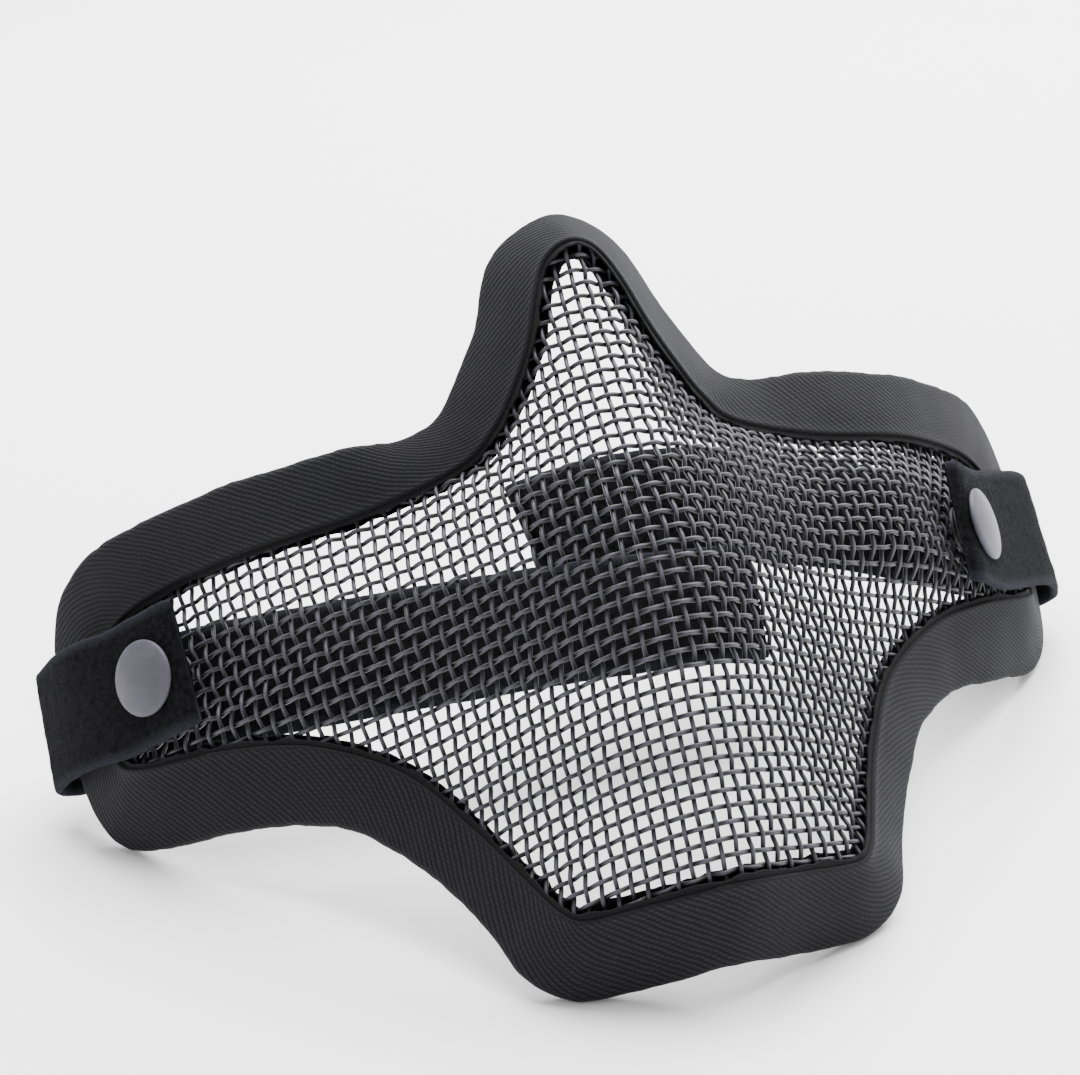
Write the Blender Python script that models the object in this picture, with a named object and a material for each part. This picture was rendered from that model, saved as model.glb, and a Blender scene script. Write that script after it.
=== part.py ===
"""Half-face mask: a pressed shell of woven steel wire, bound with folded tape, with two webbing
straps that wrap the wing ends and close on snap fasteners.

The shell is drawn in its own frame: X across the face, V up the face, N out of the face. That
frame leans back by RECLINE, so that the mask stands on its chin and on the corners of its wings.
Left and right are as seen from the front, so the right strap is at +X, on the wearer's left. The
front faces -Y, and Z = 0 is the surface that the mask stands on.
"""
import math

import bmesh
import bpy
import numpy as np
from mathutils import Matrix, Vector

MM = 0.001

# Stance
RECLINE = math.radians(45.0)
SEAT = (0.0, 32.764 * MM, 0.2265 * MM)       # moves the leaning frame over the middle of the base

# Wire shell: millimetres in the leaning frame
SHELL_THICKNESS = 1.4
SHELL_CENTRE = (0.0, 20.0)              # every point of the outline is in sight of this one
SHELL_RINGS = 12
RIDGE = ((-66, 77.5), (-50, 88.5), (-25, 91), (10, 97), (45, 92), (72, 82), (88, 85))
SLOPE_CHIN, SLOPE_MOUTH, SLOPE_NOSE = 0.70, 1.02, 1.40    # how steeply the cheeks fall away
RADIUS_MOUTH, RADIUS_NOSE = 22.0, 40.0  # how round the ridge is
HOLLOW_X = 36.0                         # the hollow beside the nose: its place and its spread
HOLLOW_SPREAD = 16.0
HOLLOW_LOW, HOLLOW_HIGH = 6.0, 17.5     # its depth at the jaw and at the bridge of the nose
RIGHT_SWELL_X, RIGHT_SWELL_SPREAD, RIGHT_SWELL = 62.0, 13.0, 6.0    # the right cheek stands prouder
WING_CURL_FROM, WING_CURL = 90.0, 35.0

# Edge binding: the tape's inner edge and its outer fold, in pairs, from the top of the nose
# round the wing to the middle of the chin. X, V, N in millimetres; the other half is mirrored.
EDGE = (
    ((0, 72.5, 93.5), (0, 84.9, 81.7)),
    ((3.5, 72, 92), (5.7, 84.4, 79.3)),
    ((6.5, 69.5, 90), (11.2, 82, 76.3)),
    ((9, 64, 89), (15.3, 76.6, 74.8)),
    ((12, 56, 87), (19, 67.2, 73.2)),
    ((16, 49, 83.5), (24, 59.6, 69.2)),
    ((21, 43, 78.5), (29, 53, 66.5)),
    ((28, 39.5, 72), (36, 51.2, 64)),
    ((46, 38, 61.5), (48, 52.7, 60)),
    ((69, 39, 48.5), (70, 55, 46.5)),
    ((86, 40, 32), (89.5, 56.3, 29)),
    ((95, 38.5, 21), (101, 55.5, 15)),
    ((99, 33, 16), (107.9, 46.5, 3.8)),
    ((101, 22, 15), (109, 25, 0.6)),
    ((99.5, 11.5, 17.5), (105.9, 4, 2.2)),
    ((95, 6.5, 25), (98.8, -5.7, 6.5)),
    ((80, 3.5, 37), (83.2, -10.2, 23.6)),
    ((64, -2, 48), (68.4, -14, 35.8)),
    ((49, -12.5, 56), (56.8, -21.3, 46)),
    ((39.5, -27, 62.5), (48, -32.6, 53.4)),
    ((33, -40.5, 69.5), (41, -45.3, 58.9)),
    ((29.5, -47.5, 73.5), (36.7, -55.9, 60.5)),
    ((25.5, -50.5, 76), (28.3, -62.2, 61.8)),
    ((15, -51, 80.5), (15, -63.4, 66)),
    ((0, -51.5, 86.5), (0, -63.7, 72.5)),
)
EDGE_STEPS = 2                          # stations between two pairs
BINDING_THICKNESS = 4.4
TAPE_THICKNESS = 0.9
SHELL_IN_BINDING = 0.62                 # how far the shell reaches into the binding
FIT_GAP = 0.3
HINGE_GAP = 1.6                         # room between the bend and the webbing that swings

# Straps: the webbing's middle line, X, V, N in millimetres, from the wing end inwards
WEBBING_WIDTH = 26.0
WEBBING_THICKNESS = 1.4
FOLD_V = 25.2
FOLD_SLACK = 2.0                        # the webbing stands this far off the binding it wraps
FLAP_OVER_BINDING = {1: ((108.6, 24.8, 9.4), (104.7, 24.0, 16.4), (98.6, 22.5, 23.4), (92.2, 20.5, 30.6)),
                     -1: ((108.6, 24.9, 8.9), (105.2, 24.2, 15.6), (101.2, 23.4, 21.0))}
FLAP_RUN = {1: ((-10.0, 0.0, 1.1), (-6.0, 0.0, 0.45), (0.0, 0.0, 0.0), (5.0, 0.0, 0.0), (8.5, 0.0, 0.0)),
            -1: ((-10.0, 0.0, 0.0), (-6.0, 0.0, 0.0), (0.0, 0.0, 0.0), (6.0, 0.0, 0.0), (10.0, -0.8, 0.0))}
FLAP_RISE = 5.3                         # the flap's height over the shell at the snap
RIGHT_REAR_PATH = ((97.6, 25, 3.4), (92.5, 25.4, 7.6), (85.5, 26.6, 12.2), (76, 29.5, 16.2),
                   (60, 35, 19.2), (37, 41.8, 19.2), (20, 44.4, 19), (4, 43.6, 19), (-7, 41.8, 19))
LEFT_REAR_PATH = ((97.6, 25, 3.4), (92.5, 24.6, 7.6), (85.5, 24.2, 12.6), (76, 23.4, 17.4),
                  (60, 22, 21.8), (30, 20.8, 24.4), (0, 20, 24.2), (-20, 18.8, 23.9), (-37, 17.4, 23.6))
PATCH_THICKNESS = 0.9
PATCH_WIDTH = 23.0
PATCH_LENGTH = 44.0

# Snap fastener, millimetres along its own axis, measured from the middle of the wire shell
SNAP_AT = {1: (75.5, 17.7), -1: (86.6, 22.9)}   # each side's X and V where the axis meets the shell
SNAP_SPLAY = {1: math.radians(2.5), -1: math.radians(1.5)}    # how far it leans outwards off square
SNAP_DIP = math.radians(4.5)            # and how far it points down
CAP_RADIUS, CAP_EDGE, CAP_RISE = 7.62, 0.9, 1.3
CAP_BASE = 6.4
SOCKET_BORE, SOCKET_RADIUS = 4.2, 6.0
SOCKET_BASE, SOCKET_TOP = 2.2, 4.1
STUD_BASE, STUD_FLANGE, STUD_TOP = 1.25, 0.6, 3.8
STUD_RADIUS, STUD_NECK, STUD_BULB = 5.2, 3.2, 3.8
POST_SEAT, POST_RADIUS, POST_BARREL, POST_THICKNESS = 1.5, 5.2, 2.0, 1.0
STUD_BORE = 2.3
ROUND_SIDES = 32

BLACK_STEEL = ((0.060, 0.060, 0.068), 0.45, 0.85)
BLACK_TAPE = ((0.022, 0.022, 0.024), 0.85, 0.0)
BLACK_WEBBING = ((0.016, 0.016, 0.019), 0.95, 0.0)
BLACK_HOOK = ((0.012, 0.012, 0.013), 0.80, 0.0)
GREY_CAP = ((0.300, 0.300, 0.320), 0.42, 0.90)
STEEL = ((0.420, 0.420, 0.430), 0.38, 1.0)


def clear_scene():
    for item in list(bpy.data.objects):
        bpy.data.objects.remove(item, do_unlink=True)


def material(name, finish):
    """A Principled finish: colour, roughness, metallic."""
    colour, roughness, metallic = finish
    mat = bpy.data.materials.new(name)
    mat.use_nodes = True
    shader = mat.node_tree.nodes["Principled BSDF"]
    shader.inputs["Base Color"].default_value = (*colour, 1.0)
    shader.inputs["Roughness"].default_value = roughness
    shader.inputs["Metallic"].default_value = metallic
    return mat


def leaning_frame():
    """The empty that every piece hangs from; its X, Y, Z are the face's X, V, N."""
    frame = bpy.data.objects.new("leaning_frame", None)
    frame.location = SEAT
    frame.rotation_euler = (RECLINE, 0.0, 0.0)
    bpy.context.collection.objects.link(frame)
    return frame


def make_object(name, verts, faces, finish, parent, smooth_angle=35.0):
    """A closed body from millimetre points in its parent's frame."""
    mesh = bpy.data.meshes.new(name)
    mesh.from_pydata([tuple(c * MM for c in v) for v in verts], [], faces)
    bm = bmesh.new()
    bm.from_mesh(mesh)
    bmesh.ops.recalc_face_normals(bm, faces=bm.faces)
    bm.to_mesh(mesh)
    bm.free()
    mesh.shade_smooth()
    mesh.set_sharp_from_angle(angle=math.radians(smooth_angle))
    mesh.materials.append(material(name, finish))
    obj = bpy.data.objects.new(name, mesh)
    bpy.context.collection.objects.link(obj)
    obj.parent = parent
    return obj


def catmull_rom(points, steps, closed):
    """Points on a smooth curve through the given ones, steps for each span."""
    pts = np.asarray(points, float)
    count = len(pts)
    if closed:
        at = lambda i: pts[i % count]
        spans = count
    else:
        padded = np.vstack([2 * pts[0] - pts[1], pts, 2 * pts[-1] - pts[-2]])
        at = lambda i: padded[i + 1]
        spans = count - 1
    out = []
    for i in range(spans):
        a, b, c, d = at(i - 1), at(i), at(i + 1), at(i + 2)
        for k in range(steps):
            t = k / steps
            out.append(0.5 * (2 * b + (c - a) * t + (2 * a - 5 * b + 4 * c - d) * t * t
                              + (3 * b - a - 3 * c + d) * t ** 3))
    if not closed:
        out.append(pts[-1])
    return np.array(out)


def smoothstep(low, high, x):
    t = min(max((x - low) / (high - low), 0.0), 1.0)
    return t * t * (3 - 2 * t)


RIDGE_LINE = catmull_rom(RIDGE, 8, closed=False)


def shell_height(x, v):
    """N of the pressed shell over a point of the face, before it is drawn to its edge."""
    side = abs(x)
    ridge = float(np.interp(v, RIDGE_LINE[:, 0], RIDGE_LINE[:, 1]))
    slope = SLOPE_CHIN + (SLOPE_MOUTH - SLOPE_CHIN) * smoothstep(-60, -30, v)
    slope += (SLOPE_NOSE - SLOPE_MOUTH) * smoothstep(25, 60, v)
    radius = RADIUS_MOUTH + (RADIUS_NOSE - RADIUS_MOUTH) * smoothstep(10, 60, v)
    roof = slope * (math.hypot(side, radius) - radius)
    depth = HOLLOW_LOW + (HOLLOW_HIGH - HOLLOW_LOW) * smoothstep(20, 50, v)
    hollow = depth * math.exp(-0.5 * ((side - HOLLOW_X) / HOLLOW_SPREAD) ** 2)
    hollow *= smoothstep(0, 14, side)
    swell = RIGHT_SWELL * math.exp(-0.5 * ((x - RIGHT_SWELL_X) / RIGHT_SWELL_SPREAD) ** 2)
    swell *= smoothstep(3, 15, v) * (1 - smoothstep(25, 39, v))
    curl = max(0.0, side - WING_CURL_FROM) ** 2 / WING_CURL
    return ridge - roof - hollow + swell - curl


def edge_loops():
    """The binding's inner edge, outer fold and outward normal at every station of the loop."""
    right = [inner + outer for inner, outer in EDGE]
    left = [(-p[0], p[1], p[2], -p[3], p[4], p[5]) for p in right[-2:0:-1]]
    loop = catmull_rom(right + left, EDGE_STEPS, closed=True)
    inner, outer = loop[:, :3], loop[:, 3:]
    middle = (inner + outer) / 2
    along = np.roll(middle, -1, axis=0) - np.roll(middle, 1, axis=0)
    across = outer - inner
    normal = np.cross(across, along)
    normal /= np.linalg.norm(normal, axis=1)[:, None]
    normal *= np.sign(normal[:, 2])[:, None]
    return inner, outer, normal


def shell_seat():
    """The line where the shell enters the binding, at every station of the loop."""
    inner, _, normal = edge_loops()
    return inner - normal * BINDING_THICKNESS / 2


def shell_point(share, edge):
    """A point of the shell, at a share of the way from its centre to a point of its seat."""
    centre = np.array(SHELL_CENTRE)
    x, v = centre + share * (edge[:2] - centre)
    drawn = (edge[2] - shell_height(edge[0], edge[1])) * share ** 3
    return np.array((x, v, shell_height(x, v) + drawn))


def shell_surface(x, v):
    """The point of the shell over X and V."""
    seat = shell_seat()
    offset = np.array((x, v)) - SHELL_CENTRE
    rays = seat[:, :2] - SHELL_CENTRE
    bearings = np.unwrap(np.arctan2(rays[:, 1], rays[:, 0]))
    bearing = math.atan2(offset[1], offset[0])
    bearing += math.tau * math.floor((bearings.max() - bearing) / math.tau)
    order = np.argsort(bearings)
    edge = np.array([np.interp(bearing, bearings[order], seat[order, k]) for k in range(3)])
    share = np.linalg.norm(offset) / np.linalg.norm(edge[:2] - SHELL_CENTRE)
    return shell_point(share, edge)


def make_wire_mesh_shell(frame):
    """The pressed shell: a sheet drawn to its edge and into the binding, then thickened."""
    inner, outer, _ = edge_loops()
    seat = shell_seat()
    rings = [[shell_point(ring / SHELL_RINGS, edge) for edge in seat]
             for ring in range(1, SHELL_RINGS + 1)]
    for share in (SHELL_IN_BINDING / 2, SHELL_IN_BINDING):
        rings.append(list(seat + (outer - inner) * share))
    verts = [(*SHELL_CENTRE, shell_height(*SHELL_CENTRE))]
    for row in rings:
        verts.extend(row)
    count = len(seat)
    faces = [(0, 1 + i, 1 + (i + 1) % count) for i in range(count)]
    for ring in range(len(rings) - 1):
        low, high = 1 + ring * count, 1 + (ring + 1) * count
        for i in range(count):
            j = (i + 1) % count
            faces.append((low + i, high + i, high + j, low + j))
    shell = make_object("wire_mesh_shell", verts, faces, BLACK_STEEL, frame, 60.0)
    solid = shell.modifiers.new("thickness", "SOLIDIFY")
    solid.thickness = SHELL_THICKNESS * MM
    solid.offset = 0.0
    solid.use_even_offset = True
    for side in (1, -1):
        cutter = make_lathe("post_hole", ((0, -6), (STUD_BORE, -6), (STUD_BORE, 6), (0, 6)),
                            BLACK_STEEL, snap_axis(side, frame))
        cutter.hide_render = True
        cutter.display_type = "WIRE"
        hole = shell.modifiers.new("post_hole", "BOOLEAN")
        hole.operation = "DIFFERENCE"
        hole.object = cutter
    return shell


def make_edge_binding(frame):
    """Tape folded over the shell's edge: a U section carried round the loop."""
    inner, outer, normal = edge_loops()
    half = BINDING_THICKNESS / 2
    slot = half - TAPE_THICKNESS
    verts = []
    for start, end, out in zip(inner, outer, normal):
        width = np.linalg.norm(end - start)
        along = (end - start) / width
        middle = start - out * half
        fold = [(width - half + half * math.sin(a), half * math.cos(a))
                for a in np.linspace(0, math.pi, 7)]
        section = [(0.0, half - 0.25), (0.25, half)] + fold
        section += [(0.25, -half), (0.0, -half + 0.25), (0.0, -slot)]
        depth = width - half - 0.2
        section += [(depth, -slot), (depth, slot), (0.0, slot)]
        verts.extend(middle + along * a + out * b for a, b in section)
    size = len(section)
    count = len(inner)
    faces = []
    for i in range(count):
        here, there = i * size, ((i + 1) % count) * size
        for k in range(size):
            j = (k + 1) % size
            faces.append((here + k, here + j, there + j, there + k))
    return make_object("edge_binding", verts, faces, BLACK_TAPE, frame)


def band(path, widths, thickness, ups=None):
    """A closed flat strip along a path, with its width at each point and which way is across."""
    path = np.asarray(path, float)
    along = np.gradient(path, axis=0)
    along /= np.linalg.norm(along, axis=1)[:, None]
    if ups is None:
        ups = [np.array([0.0, 1.0, 0.0])] * len(path)
    verts = []
    for point, ahead, width, up in zip(path, along, widths, ups):
        side = up - ahead * ahead.dot(up)
        side /= np.linalg.norm(side)
        out = np.cross(side, ahead)
        for a, b in ((-1, -1), (1, -1), (1, 1), (-1, 1)):
            verts.append(point + side * a * width / 2 + out * b * thickness / 2)
    faces = [(0, 1, 2, 3), tuple(len(verts) - k for k in (4, 3, 2, 1))]
    for i in range(len(path) - 1):
        low = 4 * i
        for k in range(4):
            j = (k + 1) % 4
            faces.append((low + k, low + 4 + k, low + 4 + j, low + j))
    return verts, faces


def fold_geometry():
    """The bend round the wing end, in X and N: its centre, radius and the two tangent points."""
    inner, outer = (np.array([p[0], p[2]], float) for p in EDGE[13])
    along = (outer - inner) / np.linalg.norm(outer - inner)
    out = np.array([-along[1], along[0]])
    half = BINDING_THICKNESS / 2
    centre = outer - along * (half - FOLD_SLACK) - out * half
    radius = half + FOLD_SLACK + WEBBING_THICKNESS / 2
    return centre, radius, along, out


def fold_path(side):
    centre, radius, along, out = fold_geometry()
    points = []
    for angle in np.linspace(-90.0, 90.0, 11):
        turn = math.radians(angle)
        x, n = centre + radius * (math.cos(turn) * along - math.sin(turn) * out)
        points.append((side * x, FOLD_V, n))
    return points


def hinge_point(side, front):
    """Where the webbing leaves the bend: towards the front flap or towards the rear strap."""
    path = fold_path(side)
    return np.array(path[0] if front else path[-1])


def mirrored(path, side):
    return [(side * x, v, n) for x, v, n in path]


def hinge_empty(name, side, front, frame):
    """An empty on a strap's hinge line, which its moving pieces hang from."""
    empty = bpy.data.objects.new(name, None)
    bpy.context.collection.objects.link(empty)
    empty.parent = frame
    empty.location = Vector(hinge_point(side, front)) * MM
    return empty


def strip_from_hinge(name, side, path, front, hinge, widths, thickness, finish, lift=0.0, ups=None):
    """Webbing or a patch along a smooth path, in the frame of its hinge empty."""
    origin = hinge_point(side, front)
    curve = np.asarray(path, float)
    if lift:
        along = np.gradient(curve, axis=0)
        out = np.cross(np.array([0.0, 1.0, 0.0]), along)
        out /= np.linalg.norm(out, axis=1)[:, None]
        out *= np.sign(out[:, 2])[:, None]
        curve = curve + out * lift
    verts, faces = band(curve - origin, widths, thickness, ups)
    return make_object(name, verts, faces, finish, hinge)


def shortened(curve, gap):
    """The curve without its first stretch, which leaves room at a hinge."""
    step = curve[1] - curve[0]
    first = curve[0] + step * gap / np.linalg.norm(step)
    return np.vstack([first, curve[1:]])


def rear_curve(side):
    path = RIGHT_REAR_PATH if side > 0 else LEFT_REAR_PATH
    points = [hinge_point(side, front=False)] + mirrored(path, side)
    return shortened(catmull_rom(points, 3, closed=False), HINGE_GAP)


def flap_curve(side):
    """Over the binding, then straight across the snap to the flap's drooping end."""
    foot, axis = snap_line(side)
    inward = np.array((-axis[2], 0.0, axis[0])) / math.hypot(axis[0], axis[2])
    run = []
    for reach, lift, drift in FLAP_RUN[side]:
        run.append(tuple(foot + axis * (FLAP_RISE + lift) + inward * reach + Vector((0.0, drift, 0.0))))
    points = [hinge_point(side, front=True)] + mirrored(list(FLAP_OVER_BINDING[side]) + run, side)
    return shortened(catmull_rom(points, 3, closed=False), HINGE_GAP)


def flap_ups(side, curve):
    """Across the flap: along V at the hinge, easing to square with the snap's axis."""
    _, axis = snap_line(side)
    across = np.array((-side * axis[0] * axis[1], 1.0 - axis[1] ** 2, -axis[2] * axis[1]))
    reach = np.linalg.norm(curve - curve[0], axis=1)
    shares = [smoothstep(0.0, 24.0, float(r)) for r in reach]
    return [np.array((0.0, 1.0, 0.0)) * (1 - share) + across * share for share in shares]


def make_strap_side(side, word, frame):
    """One strap: the bend round the wing, the front flap and the strap behind the mask."""
    verts, faces = band(fold_path(side), [WEBBING_WIDTH] * 11, WEBBING_THICKNESS)
    make_object(f"{word}_strap_fold", verts, faces, BLACK_WEBBING, frame)

    flap_hinge = hinge_empty(f"{word}_flap_hinge", side, True, frame)
    curve = flap_curve(side)
    flap = strip_from_hinge(f"{word}_strap_flap", side, curve, True, flap_hinge,
                            [WEBBING_WIDTH] * len(curve), WEBBING_THICKNESS, BLACK_WEBBING,
                            ups=flap_ups(side, curve))

    rear_hinge = hinge_empty(f"{word}_strap_hinge", side, False, frame)
    curve = rear_curve(side)
    strip_from_hinge(f"{word}_strap_rear", side, curve, False, rear_hinge,
                     [WEBBING_WIDTH] * len(curve), WEBBING_THICKNESS, BLACK_WEBBING)

    lift = (WEBBING_THICKNESS + PATCH_THICKNESS) / 2 + FIT_GAP
    patch_name, lift = ("loop_patch", lift) if side > 0 else ("hook_patch", -lift)
    tip = patch_stretch(curve)
    strip_from_hinge(patch_name, side, tip, False, rear_hinge, [PATCH_WIDTH] * len(tip),
                     PATCH_THICKNESS, BLACK_HOOK, lift)
    return flap, flap_hinge


def patch_stretch(curve):
    """The last PATCH_LENGTH of a strap, stopping 2 mm short of its tip."""
    steps = np.linalg.norm(np.diff(curve, axis=0), axis=1)
    run = np.concatenate([[0.0], np.cumsum(steps)])
    marks = np.linspace(run[-1] - PATCH_LENGTH - 2.0, run[-1] - 2.0, 9)
    return np.column_stack([np.interp(marks, run, curve[:, k]) for k in range(3)])


def snap_line(side):
    """The foot and the direction of a snap's axis, nearly square to the shell, as if it were at +X."""
    x, v = SNAP_AT[side]
    inward, foot, outward = (shell_surface(side * (x + step), v) for step in (-5.0, 0.0, 5.0))
    tilt = math.atan2(inward[2] - outward[2], 10.0) + SNAP_SPLAY[side]
    level = math.cos(SNAP_DIP)
    axis = np.array((math.sin(tilt) * level, -math.sin(SNAP_DIP), math.cos(tilt) * level))
    return np.array((x, v, foot[2])), axis


def snap_axis(side, parent, origin=(0.0, 0.0, 0.0)):
    """An empty whose Z is the snap's axis, under the leaning frame or a flap's hinge."""
    foot, axis = snap_line(side)
    empty = bpy.data.objects.new("snap_axis", None)
    bpy.context.collection.objects.link(empty)
    empty.parent = parent
    empty.location = (Vector((side * foot[0], foot[1], foot[2])) - Vector(origin)) * MM
    direction = Vector((side * axis[0], axis[1], axis[2]))
    empty.rotation_euler = direction.to_track_quat("Z", "Y").to_euler()
    return empty


def make_lathe(name, profile, finish, parent):
    """A turned piece: the profile's radius and height, spun about the parent's Z."""
    bm = bmesh.new()
    verts = [bm.verts.new((r * MM, 0.0, z * MM)) for r, z in profile]
    closed = profile[0][0] > 0
    edges = [bm.edges.new((verts[i], verts[i + 1])) for i in range(len(verts) - 1)]
    if closed:
        edges.append(bm.edges.new((verts[-1], verts[0])))
    bmesh.ops.spin(bm, geom=verts + edges, axis=(0, 0, 1), cent=(0, 0, 0),
                   angle=math.tau, steps=ROUND_SIDES, use_merge=True, use_duplicate=False)
    bmesh.ops.remove_doubles(bm, verts=bm.verts, dist=1e-7)
    bmesh.ops.recalc_face_normals(bm, faces=bm.faces)
    mesh = bpy.data.meshes.new(name)
    bm.to_mesh(mesh)
    bm.free()
    mesh.shade_smooth()
    mesh.set_sharp_from_angle(angle=math.radians(35.0))
    mesh.materials.append(material(name, finish))
    obj = bpy.data.objects.new(name, mesh)
    bpy.context.collection.objects.link(obj)
    obj.parent = parent
    return obj


def dome(radius, edge, rise, base, steps=6):
    """The cap's rim and its shallow crown, from the rim inwards."""
    crown = [(radius * math.cos(a), base + edge + rise * math.sin(a))
             for a in np.linspace(0, math.pi / 2, steps)]
    crown[-1] = (0.0, base + edge + rise)
    return crown


def make_snap(side, word, flap, flap_hinge, frame):
    """Cap and socket on the flap; stud and post riveted through the wire shell."""
    fixed = snap_axis(side, frame)
    moving = snap_axis(side, flap_hinge, hinge_point(side, front=True))

    barrel_low = SOCKET_TOP + FIT_GAP
    cap = [(0.0, barrel_low), (STUD_BORE, barrel_low), (STUD_BORE, CAP_BASE), (CAP_RADIUS, CAP_BASE)]
    cap += dome(CAP_RADIUS, CAP_EDGE, CAP_RISE, CAP_BASE)
    make_lathe(f"{word}_snap_cap", cap, GREY_CAP, moving)

    socket = ((SOCKET_BORE, SOCKET_BASE), (SOCKET_RADIUS - 0.3, SOCKET_BASE),
              (SOCKET_RADIUS, SOCKET_BASE + 0.3), (SOCKET_RADIUS, SOCKET_TOP), (SOCKET_BORE, SOCKET_TOP))
    make_lathe(f"{word}_snap_socket", socket, STEEL, moving)

    top = STUD_BASE + STUD_FLANGE
    stud = ((STUD_BORE, STUD_BASE), (STUD_RADIUS, STUD_BASE), (STUD_RADIUS, top), (STUD_NECK, top),
            (STUD_NECK, top + 0.4), (STUD_BULB, top + 0.9), (STUD_BULB - 0.3, STUD_TOP - 0.3),
            (STUD_BULB - 0.9, STUD_TOP), (STUD_BORE, STUD_TOP))
    make_lathe(f"{word}_snap_stud", stud, STEEL, fixed)

    back = -POST_SEAT
    post = ((0.0, back - POST_THICKNESS), (POST_RADIUS - 0.3, back - POST_THICKNESS),
            (POST_RADIUS, back - POST_THICKNESS + 0.3), (POST_RADIUS, back), (POST_BARREL, back),
            (POST_BARREL, STUD_TOP - 0.2), (0.0, STUD_TOP - 0.2))
    make_lathe(f"{word}_snap_post", post, STEEL, fixed)

    hole = make_lathe("flap_hole", ((0, 0), (STUD_BORE + FIT_GAP, 0), (STUD_BORE + FIT_GAP, 12), (0, 12)),
                      STEEL, moving)
    hole.hide_render = True
    hole.display_type = "WIRE"
    cut = flap.modifiers.new("cap_hole", "BOOLEAN")
    cut.operation = "DIFFERENCE"
    cut.object = hole


def main():
    clear_scene()
    frame = leaning_frame()
    make_wire_mesh_shell(frame)
    make_edge_binding(frame)
    for side, word in ((1, "right"), (-1, "left")):
        flap, flap_hinge = make_strap_side(side, word, frame)
        make_snap(side, word, flap, flap_hinge, frame)


main()
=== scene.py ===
"""The look of the mesh half mask: woven wires, twill edge tape, brushed straps, snaps, patches.

Shapes are worked out in millimetres in the leaning frame of the face, X across, V up and N out of
it, and to_world() turns them into the row frame in metres.
"""

import math

import bmesh
import bpy
import numpy as np
from mathutils import Matrix, Vector


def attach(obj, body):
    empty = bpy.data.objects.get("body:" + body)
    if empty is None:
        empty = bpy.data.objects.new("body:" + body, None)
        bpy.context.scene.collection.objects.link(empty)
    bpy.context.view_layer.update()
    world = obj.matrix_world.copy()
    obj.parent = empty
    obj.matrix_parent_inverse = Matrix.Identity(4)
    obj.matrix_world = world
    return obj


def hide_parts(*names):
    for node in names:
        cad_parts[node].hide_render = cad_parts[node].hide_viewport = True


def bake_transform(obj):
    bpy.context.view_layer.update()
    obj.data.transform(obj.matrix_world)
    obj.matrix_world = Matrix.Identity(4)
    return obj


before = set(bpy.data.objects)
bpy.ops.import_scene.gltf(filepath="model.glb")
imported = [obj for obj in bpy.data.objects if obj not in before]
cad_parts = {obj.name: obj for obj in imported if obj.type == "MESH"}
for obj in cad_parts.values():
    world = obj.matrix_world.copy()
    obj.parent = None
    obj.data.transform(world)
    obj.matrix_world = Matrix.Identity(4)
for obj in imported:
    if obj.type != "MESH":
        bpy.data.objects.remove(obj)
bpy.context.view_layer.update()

MM = 0.001
SEAT = (0.0, 32.764, 0.2265)
LEAN = math.sqrt(0.5)                   # sine and cosine of the 45 degree lean

# The pressed shell and its edge, as in the CAD
SHELL_CENTRE = (0.0, 20.0)
RIDGE = ((-66, 77.5), (-50, 88.5), (-25, 91), (10, 97), (45, 92), (72, 82), (88, 85))
SLOPE_CHIN, SLOPE_MOUTH, SLOPE_NOSE = 0.70, 1.02, 1.40
RADIUS_MOUTH, RADIUS_NOSE = 22.0, 40.0
HOLLOW_X, HOLLOW_SPREAD = 36.0, 16.0
HOLLOW_LOW, HOLLOW_HIGH = 6.0, 17.5
RIGHT_SWELL_X, RIGHT_SWELL_SPREAD, RIGHT_SWELL = 62.0, 13.0, 6.0
WING_CURL_FROM, WING_CURL = 90.0, 35.0
EDGE = (
    ((0, 72.5, 93.5), (0, 84.9, 81.7)),
    ((3.5, 72, 92), (5.7, 84.4, 79.3)),
    ((6.5, 69.5, 90), (11.2, 82, 76.3)),
    ((9, 64, 89), (15.3, 76.6, 74.8)),
    ((12, 56, 87), (19, 67.2, 73.2)),
    ((16, 49, 83.5), (24, 59.6, 69.2)),
    ((21, 43, 78.5), (29, 53, 66.5)),
    ((28, 39.5, 72), (36, 51.2, 64)),
    ((46, 38, 61.5), (48, 52.7, 60)),
    ((69, 39, 48.5), (70, 55, 46.5)),
    ((86, 40, 32), (89.5, 56.3, 29)),
    ((95, 38.5, 21), (101, 55.5, 15)),
    ((99, 33, 16), (107.9, 46.5, 3.8)),
    ((101, 22, 15), (109, 25, 0.6)),
    ((99.5, 11.5, 17.5), (105.9, 4, 2.2)),
    ((95, 6.5, 25), (98.8, -5.7, 6.5)),
    ((80, 3.5, 37), (83.2, -10.2, 23.6)),
    ((64, -2, 48), (68.4, -14, 35.8)),
    ((49, -12.5, 56), (56.8, -21.3, 46)),
    ((39.5, -27, 62.5), (48, -32.6, 53.4)),
    ((33, -40.5, 69.5), (41, -45.3, 58.9)),
    ((29.5, -47.5, 73.5), (36.7, -55.9, 60.5)),
    ((25.5, -50.5, 76), (28.3, -62.2, 61.8)),
    ((15, -51, 80.5), (15, -63.4, 66)),
    ((0, -51.5, 86.5), (0, -63.7, 72.5)),
)
BINDING_THICKNESS = 4.4
TAPE_THICKNESS = 0.9
RIB_PERIOD, RIB_SLANT = 1.75, 1.35      # the tape's diagonal ribs: along the tape, per distance across

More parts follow.
